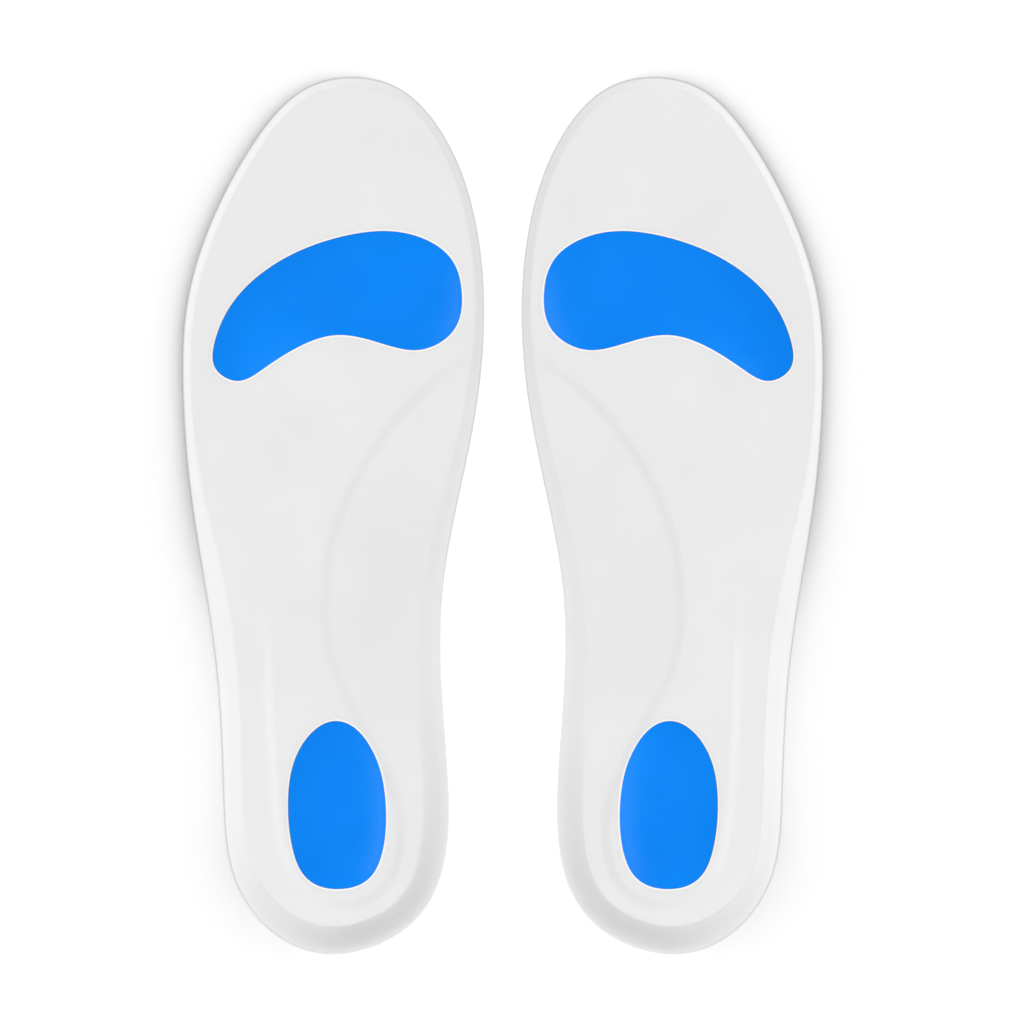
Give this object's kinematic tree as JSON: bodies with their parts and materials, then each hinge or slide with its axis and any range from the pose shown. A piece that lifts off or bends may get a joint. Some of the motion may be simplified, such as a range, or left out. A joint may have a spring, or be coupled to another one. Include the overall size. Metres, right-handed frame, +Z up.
{
  "type": "pair of cushioned insoles",
  "caption": "Pair of full-length clear silicone gel insoles with a heel cup, a raised arch and soft blue gel pads under the ball and the heel.",
  "frame": {"origin": "midway between the two insoles, at half their length, on the surface that they lie on", "axes": "+X from the left insole to the right one, +Y to the toes, +Z up"},
  "size_m": [0.1976, 0.27, 0.0105],
  "materials": {
    "clear_gel": "milky clear silicone gel, smooth and faintly glossy",
    "blue_gel": "bright blue silicone gel, smooth satin"
  },
  "bodies": {
    "left_insole": {"left_gel_base": "clear_gel", "left_ball_pad": "blue_gel", "left_heel_pad": "blue_gel"},
    "right_insole": {"right_gel_base": "clear_gel", "right_ball_pad": "blue_gel", "right_heel_pad": "blue_gel"}
  },
  "joints": [
    {"name": "right_insole_lift", "type": "slide", "parent": "left_insole", "child": "right_insole", "axis": [0, 0, 1], "range_m": [0, 0.06]}
  ]
}
